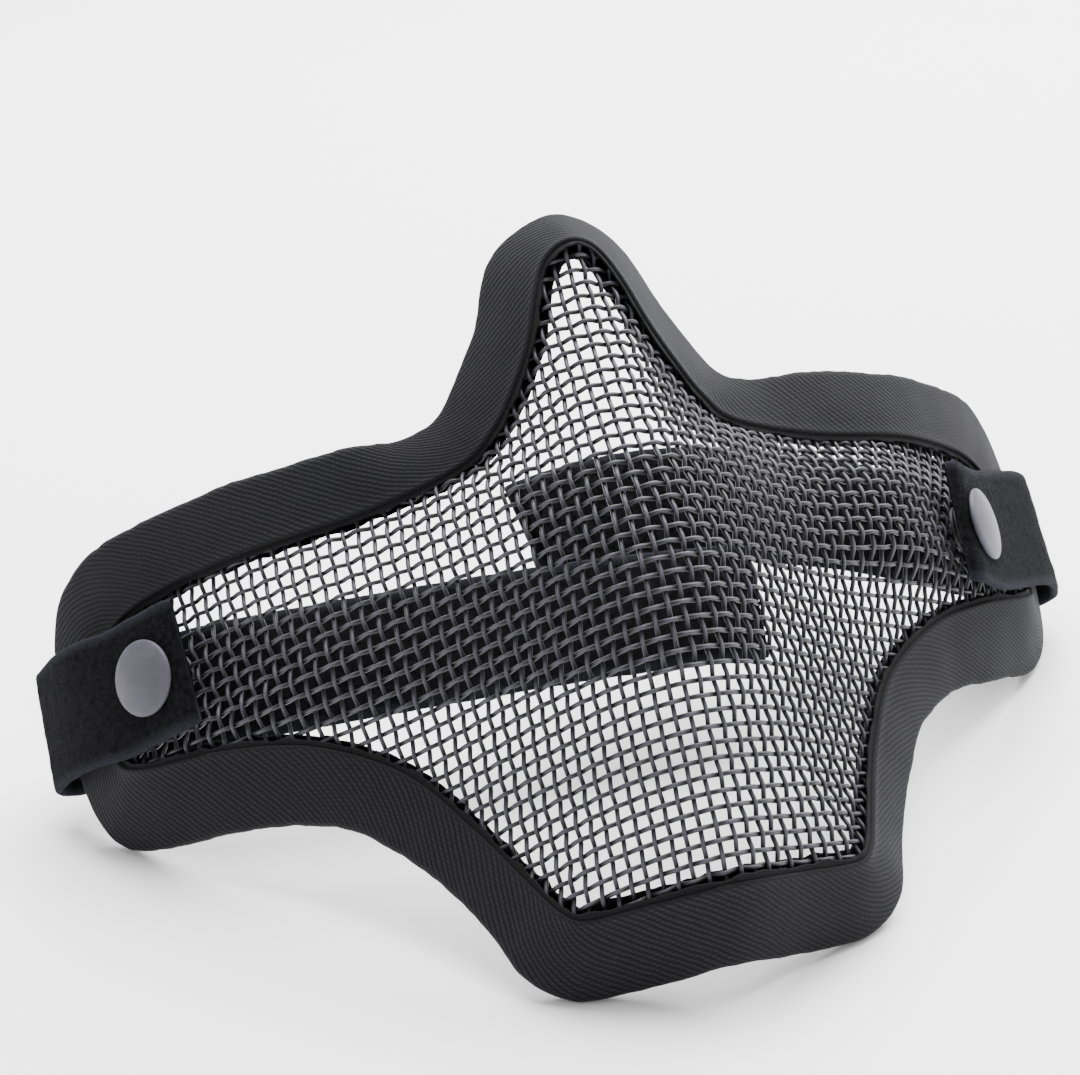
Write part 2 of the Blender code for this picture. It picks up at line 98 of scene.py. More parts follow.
# The straps and snaps
WEBBING_WIDTH, WEBBING_THICKNESS = 26.0, 1.4
FOLD_STATION = 13                       # the pair of EDGE that the strap is folded round
FOLD_V, FOLD_SLACK = 25.2, 2.0
FLAP_OVER_BINDING = {1: ((108.6, 24.8, 9.4), (104.7, 24.0, 16.4), (98.6, 22.5, 23.4), (92.2, 20.5, 30.6)),
                     -1: ((108.6, 24.9, 8.9), (105.2, 24.2, 15.6), (101.2, 23.4, 21.0))}
# Reach from the snap, lift off the mesh, shift in V. The CAD's right flap is flat and ends at 8.5
FLAP_RUN = {1: ((-10.0, 0.0, 1.1), (-6.0, 0.0, 0.45), (0.0, 0.0, 0.0), (5.0, 0.0, 0.0),
                (6.6, -0.5, 0.0), (7.6, -1.8, 0.0)),
            -1: ((-10.0, 0.0, 0.0), (-6.0, 0.0, 0.0), (0.0, 0.0, 0.0), (6.0, 0.0, 0.0), (10.0, -0.8, 0.0))}
FLAP_RISE = 5.3
RIGHT_REAR_PATH = ((97.6, 25, 3.4), (92.5, 25.4, 7.6), (85.5, 26.6, 12.2), (76, 29.5, 16.2),
                   (60, 35, 19.2), (37, 41.8, 19.2), (20, 44.4, 19), (4, 43.6, 19), (-7, 41.8, 19))
LEFT_REAR_PATH = ((97.6, 25, 3.4), (92.5, 24.6, 7.6), (85.5, 24.2, 12.6), (76, 23.4, 17.4),
                  (60, 22, 21.8), (30, 20.8, 24.4), (0, 20, 24.2), (-20, 18.8, 23.9), (-37, 17.4, 23.6))
PATCH_THICKNESS, PATCH_WIDTH, PATCH_LENGTH = 0.9, 23.0, 44.0
PATCH_GAP = 0.3
SNAP_AT = {1: (75.5, 17.7), -1: (86.6, 22.9)}
SNAP_SPLAY = {1: math.radians(2.5), -1: math.radians(1.5)}
SNAP_DIP = math.radians(4.5)
CAP_RADIUS, CAP_RISE, CAP_BASE = 7.62, 1.3, 6.4
POST_HOLE = 2.3
SIDES = ((1, "right"), (-1, "left"))

# The wire cloth
PITCH = 2.80                            # in the middle of the face
SIDE_STRETCH = {1: -0.05, -1: 0.10}     # how much the pressing opened the columns towards each wing
ROW_STRETCH = {1: 0.0, -1: 0.10}        # and the rows
WIRE_RADIUS = 0.445
WEFT_CRIMP, WARP_CRIMP = 0.40, 0.31     # how far a wire swings to either side of the cloth
WIRE_SIDES = 8
STEPS_PER_PITCH = 4
WIRE_INTO_TAPE = 1.6                    # how far a wire runs on inside the binding

# The camera looks from the front left, a little above
CAMERA_AT = (-99.9, -378.34, 244.63)
CAMERA_AXES = ((0.96433, -0.25283, -0.07812), (0.17504, 0.38762, 0.90467), (-0.19859, -0.88607, 0.41805))
CAMERA_LENS = 75.5

# The studio
FLOOR_HALF = 6.0                        # metres
WORLD_STRENGTH, TOP_WATTS, SIDE_WATTS = 0.91, 114.0, 7.0

# The naps
FRONT_FIBRES, BACK_FIBRES = 4500, 5000
FIBRE_LENGTH, FIBRE_RADIUS = 0.4, 0.035
LOOP_COUNT, HOOK_ROWS, HOOK_COLUMNS, HOOK_SPACING = 1500, 43, 15, 1.45


# ---------------------------------------------------------------- shapes in the leaning frame

def to_world(points):
    """Metres in the row frame from millimetres in the leaning frame."""
    p = np.asarray(points, float)
    y = (p[..., 1] - p[..., 2]) * LEAN + SEAT[1]
    z = (p[..., 1] + p[..., 2]) * LEAN + SEAT[2]
    return np.stack((p[..., 0], y, z), axis=-1) * MM


def smoothstep(low, high, x):
    t = np.clip((np.asarray(x, float) - low) / (high - low), 0.0, 1.0)
    return t * t * (3 - 2 * t)


def catmull_rom(points, steps, closed):
    """Points on a smooth curve through the given ones, steps for each span."""
    pts = np.asarray(points, float)
    if closed:
        padded = np.vstack([pts[-1:], pts, pts[:2]])
    else:
        padded = np.vstack([2 * pts[0] - pts[1], pts, 2 * pts[-1] - pts[-2]])
    out = []
    for i in range(1, len(padded) - 2):
        a, b, c, d = padded[i - 1:i + 3]
        for k in range(steps):
            t = k / steps
            out.append(0.5 * (2 * b + (c - a) * t + (2 * a - 5 * b + 4 * c - d) * t * t
                              + (3 * b - a - 3 * c + d) * t ** 3))
    if not closed:
        out.append(pts[-1])
    return np.array(out)


def unit(v):
    v = np.asarray(v, float)
    return v / np.linalg.norm(v, axis=-1, keepdims=True)


def run_length(points, closed=False):
    """Distance along a row of points, from its first."""
    pts = np.vstack([points, points[:1]]) if closed else np.asarray(points, float)
    return np.concatenate([[0.0], np.cumsum(np.linalg.norm(np.diff(pts, axis=0), axis=1))])


def wobble(s, wavelength, seed):
    """A smooth irregular wave of about unit height along s."""
    rng = np.random.default_rng(seed)
    total = np.zeros_like(np.asarray(s, float))
    for _ in range(5):
        stretch = wavelength * rng.uniform(0.55, 1.9)
        total += math.sqrt(0.4) * np.sin(math.tau * (np.asarray(s) / stretch + rng.uniform()))
    return total


def edge_loops(steps):
    """The binding's inner edge, outer fold and outward normal at every station of the loop."""
    right = [inner + outer for inner, outer in EDGE]
    left = [(-p[0], p[1], p[2], -p[3], p[4], p[5]) for p in right[-2:0:-1]]
    loop = catmull_rom(right + left, steps, closed=True)
    inner, outer = loop[:, :3], loop[:, 3:]
    middle = (inner + outer) / 2
    along = np.roll(middle, -1, axis=0) - np.roll(middle, 1, axis=0)
    normal = unit(np.cross(outer - inner, along))
    return inner, outer, normal * np.sign(normal[:, 2:])


RIDGE_LINE = catmull_rom(RIDGE, 8, closed=False)
INNER, _, NORMAL = edge_loops(8)
SHELL_SEAT = INNER - NORMAL * BINDING_THICKNESS / 2
SEAT_BEARING = np.arctan2(SHELL_SEAT[:, 1] - SHELL_CENTRE[1], SHELL_SEAT[:, 0] - SHELL_CENTRE[0])


def shell_height(x, v):
    """N of the pressed shell over a point of the face, before it is drawn to its edge."""
    side = np.abs(x)
    ridge = np.interp(v, RIDGE_LINE[:, 0], RIDGE_LINE[:, 1])
    slope = SLOPE_CHIN + (SLOPE_MOUTH - SLOPE_CHIN) * smoothstep(-60, -30, v)
    slope = slope + (SLOPE_NOSE - SLOPE_MOUTH) * smoothstep(25, 60, v)
    radius = RADIUS_MOUTH + (RADIUS_NOSE - RADIUS_MOUTH) * smoothstep(10, 60, v)
    roof = slope * (np.hypot(side, radius) - radius)
    depth = HOLLOW_LOW + (HOLLOW_HIGH - HOLLOW_LOW) * smoothstep(20, 50, v)
    hollow = depth * np.exp(-0.5 * ((side - HOLLOW_X) / HOLLOW_SPREAD) ** 2) * smoothstep(0, 14, side)
    swell = RIGHT_SWELL * np.exp(-0.5 * ((x - RIGHT_SWELL_X) / RIGHT_SWELL_SPREAD) ** 2)
    swell = swell * smoothstep(3, 15, v) * (1 - smoothstep(25, 39, v))
    curl = np.maximum(0.0, side - WING_CURL_FROM) ** 2 / WING_CURL
    return ridge - roof - hollow + swell - curl


def seat_on_ray(x, v):
    """Where the ray from the shell's centre through a point meets the binding, and the point's
    distance along it, from 0 at the centre to 1 at the binding."""
    dx, dv = x - SHELL_CENTRE[0], v - SHELL_CENTRE[1]
    bearing = np.arctan2(dv, dx)
    edge = [np.interp(bearing, SEAT_BEARING, SHELL_SEAT[:, k], period=math.tau) for k in range(3)]
    reach = np.hypot(edge[0] - SHELL_CENTRE[0], edge[1] - SHELL_CENTRE[1])
    return edge, np.hypot(dx, dv) / reach, reach


GRID_X = np.arange(-116.0, 116.01, 0.5)
GRID_V = np.arange(-72.0, 92.01, 0.5)


def blurred(grid, passes):
    """The grid smoothed, which takes out the creases where the shell's rays bunch."""
    for _ in range(passes):
        for axis in (0, 1):
            low, high = np.roll(grid, 1, axis), np.roll(grid, -1, axis)
            grid = (low + 2 * grid + high) / 4
    return grid


def height_grid():
    x, v = np.meshgrid(GRID_X, GRID_V)
    edge, share, _ = seat_on_ray(x, v)
    drawn = (edge[2] - shell_height(edge[0], edge[1])) * np.minimum(share, 1.12) ** 3
    return blurred(shell_height(x, v) + drawn, 6)


HEIGHT = height_grid()
SLOPE_V, SLOPE_X = np.gradient(HEIGHT, 0.5)


def sampled(grid, x, v):
    """A grid's value between its points."""
    gx = np.clip((np.asarray(x) - GRID_X[0]) / 0.5, 0, len(GRID_X) - 1.001)
    gv = np.clip((np.asarray(v) - GRID_V[0]) / 0.5, 0, len(GRID_V) - 1.001)
    ix, iv = gx.astype(int), gv.astype(int)
    fx, fv = gx - ix, gv - iv
    low = grid[iv, ix] * (1 - fx) + grid[iv, ix + 1] * fx
    high = grid[iv + 1, ix] * (1 - fx) + grid[iv + 1, ix + 1] * fx
    return low * (1 - fv) + high * fv


def shell_points(x, v):
    """Points of the cloth's middle and its outward normals over rows of X and V."""
    x, v = np.asarray(x, float), np.broadcast_to(v, np.shape(x)).astype(float)
    normal = unit(np.stack((-sampled(SLOPE_X, x, v), -sampled(SLOPE_V, x, v), np.ones_like(x)), -1))
    return np.stack((x, v, sampled(HEIGHT, x, v)), -1), normal


def snap_line(side):
    """The foot and the direction of a snap's axis, nearly square to the shell, as if it were at +X."""
    x, v = SNAP_AT[side]
    (inward, foot, outward), _ = shell_points([side * (x - 5.0), side * x, side * (x + 5.0)], v)
    tilt = math.atan2(inward[2] - outward[2], 10.0) + SNAP_SPLAY[side]
    level = math.cos(SNAP_DIP)
    axis = np.array((math.sin(tilt) * level, -math.sin(SNAP_DIP), math.cos(tilt) * level))
    return np.array((x, v, foot[2])), axis


# ---------------------------------------------------------------- meshes

def new_piece(name, verts, faces, mat, smooth_angle=None):
    """A mesh from points in the row frame, in metres."""
    mesh = bpy.data.meshes.new(name)
    mesh.from_pydata([tuple(p) for p in np.asarray(verts).tolist()], [], faces)
    mesh.materials.append(mat)
    mesh.shade_smooth()
    if smooth_angle:
        mesh.set_sharp_from_angle(angle=math.radians(smooth_angle))
    obj = bpy.data.objects.new(name, mesh)
    bpy.context.collection.objects.link(obj)
    return obj


def point_value(obj, name, values):
    """A number for each vertex, which the piece's material reads."""
    attribute = obj.data.attributes.new(name, "FLOAT", "POINT")
    attribute.data.foreach_set("value", np.asarray(values, np.float32))


def ring_faces(rows, size, closed_rows=False, closed_ring=True, start=0):
    """Quads between rows of points that each hold size points."""
    faces = []
    for i in range(rows if closed_rows else rows - 1):
        here, there = start + i * size, start + ((i + 1) % rows) * size
        for k in range(size if closed_ring else size - 1):
            j = (k + 1) % size
            faces.append((here + k, here + j, there + j, there + k))
    return faces


def tube(path, up, radius, sides):
    """Points of a round tube along a path, with flat ends, and its faces counted from 0."""
    ahead = unit(np.gradient(path, axis=0))
    side = unit(np.cross(ahead, up))
    over = np.cross(side, ahead)
    angles = np.arange(sides) * math.tau / sides
    ring = side[:, None, :] * np.cos(angles)[None, :, None] + over[:, None, :] * np.sin(angles)[None, :, None]
    verts = (path[:, None, :] + ring * radius).reshape(-1, 3)
    faces = ring_faces(len(path), sides)
    faces.append(tuple(range(sides)))
    faces.append(tuple(len(verts) - 1 - k for k in range(sides)))
    return verts, faces


def gather(parts):
    """One list of points and faces from several."""
    verts, faces, count = [], [], 0
    for points, polygons in parts:
        verts.append(points)
        faces.extend(tuple(k + count for k in face) for face in polygons)
        count += len(points)
    return np.vstack(verts), faces


# ---------------------------------------------------------------- materials

def node(tree, kind, links=None, **settings):
    """A shader node: settings are its properties, or its sockets' values when the key is 'i_NAME'."""
    made = tree.nodes.new(kind)
    for key, value in settings.items():
        if key.startswith("i_"):
            made.inputs[key[2:].replace("_", " ")].default_value = value
        else:
            setattr(made, key, value)
    for socket, source in (links or {}).items():
        tree.links.new(source, made.inputs[socket])
    return made


def noise(tree, where, scale, detail=3.0, roughness=0.55):
    made = node(tree, "ShaderNodeTexNoise", {"Vector": where},
                i_Scale=scale, i_Detail=detail, i_Roughness=roughness)
    return made.outputs["Fac"]


def ramp(tree, value, stops):
    """A colour ramp; each stop is a place and an RGB or grey value."""
    made = node(tree, "ShaderNodeValToRGB", {"Fac": value})
    elements = made.color_ramp.elements
    while len(elements) < len(stops):
        elements.new(0.5)
    for element, (place, colour) in zip(elements, stops):
        rgb = colour if isinstance(colour, tuple) else (colour,) * 3
        element.position = place
        element.color = (*rgb, 1.0)
    return made.outputs["Color"]


def maths(tree, operation, a, b=None, clamp=False):
    made = tree.nodes.new("ShaderNodeMath")
    made.operation = operation
    made.use_clamp = clamp
    for index, value in enumerate((a, b)):
        if value is None:
            continue
        if isinstance(value, (int, float)):
            made.inputs[index].default_value = value
        else:
            tree.links.new(value, made.inputs[index])
    return made.outputs[0]


def mixed(tree, factor, a, b, blend="MIX"):
    made = tree.nodes.new("ShaderNodeMix")
    made.data_type = "RGBA"
    made.blend_type = blend
    for socket, value in ((0, factor), (6, a), (7, b)):
        if isinstance(value, tuple):
            made.inputs[socket].default_value = (*value, 1.0)
        elif isinstance(value, float):
            made.inputs[socket].default_value = value
        else:
            tree.links.new(value, made.inputs[socket])
    return made.outputs[2]


def bump(tree, height, strength, distance):
    made = node(tree, "ShaderNodeBump", {"Height": height}, i_Strength=strength, i_Distance=distance)
    return made.outputs["Normal"]


def start_material(name, **shader_values):
    """A Principled material, its tree, its shader and object coordinates in millimetres."""
    mat = bpy.data.materials.new(name)
    mat.use_nodes = True
    tree = mat.node_tree
    shader = tree.nodes["Principled BSDF"]
    for key, value in shader_values.items():
        shader.inputs[key.replace("_", " ")].default_value = value
    coords = tree.nodes.new("ShaderNodeTexCoord")
    scale = node(tree, "ShaderNodeVectorMath", {0: coords.outputs["Object"]}, operation="SCALE")
    scale.inputs["Scale"].default_value = 1000.0
    return mat, tree, shader, scale.outputs[0]


def connect(tree, shader, **sockets):
    for key, source in sockets.items():
        tree.links.new(source, shader.inputs[key.replace("_", " ")])


def wire_material():
    """Black coated wire, satin: a painted highlight makes it greyer on the knuckles, and painted shade makes
    it near black where it dives under another.
    """
    mat, tree, shader, where = start_material("coated_wire", Metallic=0.15, Specular_IOR_Level=0.35)
    knuckle_shading_and_wear = node(tree, "ShaderNodeAttribute", attribute_name="knuckle_shading_and_wear").outputs["Fac"]
    height = maths(tree, "ADD", maths(tree, "MULTIPLY", knuckle_shading_and_wear, 0.5), 0.5)
    grime = noise(tree, where, 0.9, 4.0)
    speckle = noise(tree, where, 7.0, 2.0)
    # painted light: near black where a wire dives under another (painted shade), greyer on the outward face
    # of each knuckle (painted highlight)
    base = ramp(tree, height, ((0.12, (0.0035, 0.0033, 0.0048)), (0.5, (0.0105, 0.0098, 0.0138)),
                               (0.92, (0.046, 0.043, 0.056))))
    base = mixed(tree, 1.0, base, ramp(tree, grime, ((0.3, 0.78), (0.7, 1.16))), "MULTIPLY")
    scuffed = ramp(tree, speckle, ((0.45, 0.0), (0.65, 1.0)))
    # paler scuffs of wear on the knuckle crests
    worn = maths(tree, "MULTIPLY", maths(tree, "POWER", height, 6.0), scuffed)
    colour = mixed(tree, maths(tree, "MULTIPLY", worn, 0.35), base, (0.095, 0.091, 0.106))
    rough = ramp(tree, grime, ((0.3, 0.34), (0.7, 0.50)))
    normal = bump(tree, speckle, 0.18, 0.00006)
    connect(tree, shader, Base_Color=colour, Roughness=rough, Normal=normal)
    return mat


def twill_material():
    """Black twill tape: diagonal ribs along the tape's own length and width, with a painted highlight on the
    rib crests and painted shade in the grooves between them.
    """
    mat, tree, shader, where = start_material("twill_tape", Roughness=0.82, Specular_IOR_Level=0.11,
                                              Sheen_Weight=0.045, Sheen_Roughness=0.4)
    shader.inputs["Sheen Tint"].default_value = (0.75, 0.75, 0.8, 1.0)
    along = node(tree, "ShaderNodeAttribute", attribute_name="tape_along").outputs["Fac"]
    across = node(tree, "ShaderNodeAttribute", attribute_name="tape_across").outputs["Fac"]
    sway = maths(tree, "MULTIPLY", noise(tree, where, 0.22, 2.0), 1.3)
    lay = maths(tree, "ADD", maths(tree, "ADD", along, maths(tree, "MULTIPLY", across, RIB_SLANT)), sway)
    rib = maths(tree, "SINE", maths(tree, "MULTIPLY", lay, math.tau / RIB_PERIOD))
    rib = maths(tree, "ADD", maths(tree, "MULTIPLY", rib, 0.5), 0.5)
    step = maths(tree, "SUBTRACT", across, maths(tree, "MULTIPLY", along, 0.25))
    yarn = maths(tree, "SINE", maths(tree, "MULTIPLY", step, math.tau / 0.9))
    yarn = maths(tree, "ADD", maths(tree, "MULTIPLY", yarn, 0.5), 0.5)
    smooth = node(tree, "ShaderNodeAttribute", attribute_name="tape_plain").outputs["Fac"]
    woven = maths(tree, "SUBTRACT", 1.0, smooth, clamp=True)
    rib = maths(tree, "MULTIPLY", rib, woven)
    fuzz = noise(tree, where, 3.2, 4.0, 0.65)
    patchy = noise(tree, where, 0.12, 3.0)
    # painted light over the weave: lighter on the rib crests (painted highlight), near black in the grooves
    # (painted shade)
    rib_shade_and_weave = maths(tree, "MULTIPLY", rib, maths(tree, "ADD", maths(tree, "MULTIPLY", yarn, 0.5), 0.5))
    rib_shade_and_weave = maths(tree, "ADD", rib_shade_and_weave, maths(tree, "MULTIPLY", smooth, 0.3), clamp=True)
    dark = ramp(tree, rib_shade_and_weave, ((0.0, (0.0018, 0.0018, 0.0026)), (0.85, (0.0145, 0.0142, 0.0175))))
    dust = ramp(tree, fuzz, ((0.35, 0.6), (0.7, 1.35)))
    colour = mixed(tree, 1.0, dark, dust, "MULTIPLY")
    colour = mixed(tree, maths(tree, "MULTIPLY", patchy, 0.3), colour, (0.0115, 0.0113, 0.0138))
    height = maths(tree, "ADD", rib, maths(tree, "MULTIPLY", maths(tree, "MULTIPLY", yarn, rib), 0.35))
    height = maths(tree, "ADD", height, maths(tree, "MULTIPLY", fuzz, 0.35))
    connect(tree, shader, Base_Color=colour, Normal=bump(tree, height, 0.32, 0.0002))
    return mat


def dark_fuzz_material():
    """A near-black fuzzy material for the strip under the tape's edge; the hook tape uses it too."""
    mat, tree, shader, where = start_material("near_black_fuzz", Roughness=0.95, Specular_IOR_Level=0.2)
    fuzz = noise(tree, where, 4.0, 5.0, 0.7)
    colour = ramp(tree, fuzz, ((0.3, (0.0015, 0.0015, 0.002)), (0.75, (0.006, 0.006, 0.007))))
    connect(tree, shader, Base_Color=colour, Normal=bump(tree, fuzz, 0.9, 0.0002))
    return mat


def velour_material(name, dark, light, blotch):
    """Brushed webbing: a soft nap that lies in blotches, with a painted sheen that makes it paler at its
    rims, where they turn to the light.
    """
    mat, tree, shader, where = start_material(name, Roughness=0.95, Specular_IOR_Level=0.05,
                                              Sheen_Weight=0.022, Sheen_Roughness=0.3)
    shader.inputs["Sheen Tint"].default_value = (0.72, 0.76, 0.86, 1.0)
    lay = noise(tree, where, blotch, 4.0, 0.6)
    nap = noise(tree, where, 2.6, 5.0, 0.7)
    fibre = noise(tree, where, 11.0, 3.0, 0.7)
    both = maths(tree, "ADD", maths(tree, "MULTIPLY", lay, 0.5), maths(tree, "MULTIPLY", nap, 0.5))
    colour = ramp(tree, both, ((0.42, dark), (0.58, light)))
    rim = node(tree, "ShaderNodeAttribute", attribute_name="rim").outputs["Fac"]
    # painted sheen: the colour goes paler and bluish towards the webbing's edges and cut end, where the
    # rounded rims turn to the light
    colour = mixed(tree, maths(tree, "MULTIPLY", rim, ramp(tree, nap, ((0.3, 0.45), (0.65, 1.0)))), colour,
                   (0.021, 0.0225, 0.029))
    colour = mixed(tree, 1.0, colour, ramp(tree, fibre, ((0.3, 0.7), (0.75, 1.25))), "MULTIPLY")
    height = maths(tree, "ADD", maths(tree, "MULTIPLY", nap, 1.0), maths(tree, "MULTIPLY", fibre, 0.35))
    connect(tree, shader, Base_Color=colour, Normal=bump(tree, height, 0.7, 0.0005))
    return mat


def cap_material():
    """Grey satin cap: fine turned lines, a faint cloud of handling and small scuffs."""
    mat, tree, shader, where = start_material("satin_cap", Metallic=0.1, Specular_IOR_Level=0.13)
    turned = node(tree, "ShaderNodeAttribute", attribute_name="cap_radius").outputs["Fac"]
    fine = noise(tree, where, 0.35, 3.0)
    grit = noise(tree, where, 9.0, 3.0, 0.6)
    lines = maths(tree, "SINE", maths(tree, "MULTIPLY", turned, math.tau / 0.22))
    colour = ramp(tree, fine, ((0.3, (0.065, 0.062, 0.077)), (0.7, (0.079, 0.076, 0.093))))
    colour = mixed(tree, 1.0, colour, ramp(tree, grit, ((0.3, 0.86), (0.7, 1.1))), "MULTIPLY")
    rough = ramp(tree, grit, ((0.3, 0.36), (0.7, 0.5)))
    height = maths(tree, "ADD", maths(tree, "MULTIPLY", lines, 0.25), grit)
    connect(tree, shader, Base_Color=colour, Roughness=rough, Normal=bump(tree, height, 0.1, 0.00004))
    return mat


def steel_material():
    """Blackened pressed steel: fine scratches and a dull film."""
    mat, tree, shader, where = start_material("pressed_steel", Metallic=0.6, Specular_IOR_Level=0.3)
    stretch = node(tree, "ShaderNodeMapping", {"Vector": where}, vector_type="POINT")
    stretch.inputs["Scale"].default_value = (0.6, 6.0, 0.6)
    scratch = noise(tree, stretch.outputs[0], 3.0, 4.0, 0.6)
    film = noise(tree, where, 0.8, 3.0)
    colour = ramp(tree, film, ((0.3, (0.022, 0.021, 0.024)), (0.7, (0.040, 0.039, 0.043))))
    rough = ramp(tree, scratch, ((0.3, 0.26), (0.7, 0.44)))
    connect(tree, shader, Base_Color=colour, Roughness=rough, Normal=bump(tree, scratch, 0.15, 0.00005))
    return mat


def floor_material():
    """Pale matt paper."""
    mat, tree, shader, where = start_material("studio_floor", Roughness=0.9, Specular_IOR_Level=0.1)
    cloud = noise(tree, where, 0.004, 2.0)
    colour = ramp(tree, cloud, ((0.3, (0.965, 0.965, 0.97)), (0.7, (0.98, 0.98, 0.98))))
    connect(tree, shader, Base_Color=colour)
    return mat


WIRE = wire_material()
TWILL = twill_material()
DARK_FUZZ = dark_fuzz_material()
VELOUR = velour_material("brushed_webbing", (0.0012, 0.0012, 0.0015), (0.0078, 0.0076, 0.0094), 0.9)
CAP = cap_material()
STEEL = steel_material()
PILE = velour_material("loop_pile", (0.002, 0.002, 0.0025), (0.009, 0.009, 0.0105), 1.2)


# ---------------------------------------------------------------- wire cloth

def arc_marks(v, marks):
    """X at the given distances along the cloth from its middle, in the row at height V."""
    x = np.arange(0.0, 118.0, 0.25)
    reach = []
    for sign in (1, -1):
        n = sampled(HEIGHT, sign * x, np.full_like(x, v))
        reach.append(sign * np.interp(np.abs(marks), run_length(np.column_stack([x, n])), x))
    return np.where(marks < 0, reach[1], reach[0])


def row_heights():
    """V of every quarter row, spaced evenly along the middle of the face."""
    v = np.arange(-70.0, 90.0, 0.25)
    n = sampled(HEIGHT, np.zeros_like(v), v)
    run = run_length(np.column_stack([v, n]))
    run -= np.interp(SHELL_CENTRE[1], v, run)
    quarters = np.arange(-46 * STEPS_PER_PITCH, 46 * STEPS_PER_PITCH)
    marks = quarters * PITCH / STEPS_PER_PITCH
    inside = (marks > run[0]) & (marks < run[-1])
    return quarters[inside], np.interp(marks[inside], run, v)


def cloth_arc(columns):
    """Distance along the cloth from its middle to each column, in wires and parts of a wire."""
    count = np.linspace(0.0, 52.0, 521)
    arcs = {}
    for side, stretch in SIDE_STRETCH.items():
        local = PITCH * (1 + stretch * smoothstep(3.0, 22.0, count))
        arc = np.concatenate([[0.0], np.cumsum((local[1:] + local[:-1]) / 2 * 0.1)])
        arcs[side] = side * np.interp(np.abs(columns), count, arc)
    return np.where(columns < 0, arcs[-1], arcs[1])


def fanned(x, v):
    """V of a row at X: the rows spread a little towards a stretched wing."""
    stretch = np.where(np.asarray(x) < 0, ROW_STRETCH[-1], ROW_STRETCH[1])
    spread = 1 + stretch * smoothstep(8.0, 62.0, np.abs(x))
    return SHELL_CENTRE[1] + (v - SHELL_CENTRE[1]) * spread


def covered(x, v):
    """True where the cloth is: inside the binding's seat and off the two rivet holes."""
    _, share, reach = seat_on_ray(x, v)
    keep = (share - 1) * reach < WIRE_INTO_TAPE
    for side, _ in SIDES:
        at_x, at_v = SNAP_AT[side]
        keep &= np.hypot((np.asarray(x) - side * at_x) * 1.4, np.asarray(v) - at_v) > POST_HOLE + WIRE_RADIUS
    return keep


def spans(keep):
    """The runs of True that are long enough for a piece of wire."""
    ends = np.flatnonzero(np.diff(np.concatenate([[0], keep.astype(int), [0]])))
    return [(a, b) for a, b in zip(ends[::2], ends[1::2]) if b - a >= 3]


def wire_piece(name, strands):
    """One piece from strands, each a row of X, V and of swing out of the cloth."""
    parts, shading_and_wear_values = [], []
    turned_out = np.sin(np.arange(WIRE_SIDES) * math.tau / WIRE_SIDES)
    for x, v, swing in strands:
        middle, normal = shell_points(x, v)
        for low, high in spans(covered(x, v)):
            cut = slice(low, high)
            path = middle[cut] + normal[cut] * swing[cut, None]
            parts.append(tube(path, normal[cut], WIRE_RADIUS, WIRE_SIDES))
            # per vertex: how far a face turns out at a knuckle, which the wire's colour uses for painted
            # highlight, painted shade and wear
            shading_and_wear_values.append(np.outer(swing[cut] / swing.max(), turned_out).reshape(-1))
    verts, faces = gather(parts)
    obj = new_piece(name, to_world(verts), faces, WIRE)
    point_value(obj, "knuckle_shading_and_wear", np.concatenate(shading_and_wear_values))
    return obj


def strand_jitter(index, count, seed):
    """A small steady unevenness of one wire's place in the cloth."""
    s = np.arange(count) / STEPS_PER_PITCH * PITCH
    return 0.05 * wobble(s, 40.0, seed + index) + 0.015 * wobble(s, 12.0, seed + 500 + index)


def make_wire_cloth():
    quarters, heights = row_heights()
    steps = STEPS_PER_PITCH
    marks = np.arange(-50 * steps, 50 * steps + 1)
    arcs = cloth_arc(marks / steps)
    weft = []
    for q, v in zip(quarters, heights):
        if q % steps:
            continue
        row = q // steps
        swing = WEFT_CRIMP * (1 - 2 * (row % 2)) * np.sin(math.pi * marks / steps)
        x = arc_marks(v, arcs)
        weft.append((x, fanned(x, v) + strand_jitter(row, len(x), 1000), swing))
    table = np.array([arc_marks(v, cloth_arc(np.arange(-50, 50) + 0.5)) for v in heights])
    warp = []
    for column in range(table.shape[1]):
        swing = -WARP_CRIMP * (1 - 2 * (column % 2)) * np.cos(math.pi * quarters / steps)
        x = table[:, column] + strand_jitter(column, len(heights), 3000)
        warp.append((x, fanned(x, heights), swing))
    pieces = wire_piece("weft_wires", weft), wire_piece("warp_wires", warp)
    for piece in pieces:
        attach(piece, "root")
    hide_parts("wire_mesh_shell")
    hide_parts("wire_mesh_shell")


# ---------------------------------------------------------------- edge binding

def binding_section(width, swell):
    """The tape's section: distance from the inner edge, height, across the tape, plainness."""
    half = BINDING_THICKNESS / 2
    slot = half - TAPE_THICKNESS
    reach = width - half
    front = [(0.0, slot + 0.15, 1.0), (-0.10, half - 0.45, 1.0), (0.04, half - 0.12, 0.8),
             (0.35, half + 0.03, 0.4), (0.75, half + 0.04, 0.15), (1.05, half - 0.01, 0.0)]
    for share in np.linspace(0.12, 0.9, 8):
        front.append((1.1 + (reach - 1.1) * share, half - 0.03 + swell * math.sin(math.pi * share), 0.0))
    turns = np.linspace(0.12, math.pi - 0.12, 13)
    bend = [(reach + half * math.sin(a), half * math.cos(a), 0.0) for a in turns]
    back = [(a, -b, c) for a, b, c in front[::-1]]
    depth = width - half - 0.2
    inside = [(0.0, -slot, 1.0), (depth, -slot, 1.0), (depth, slot, 1.0), (0.0, slot, 1.0)]
    return front + bend + back + inside


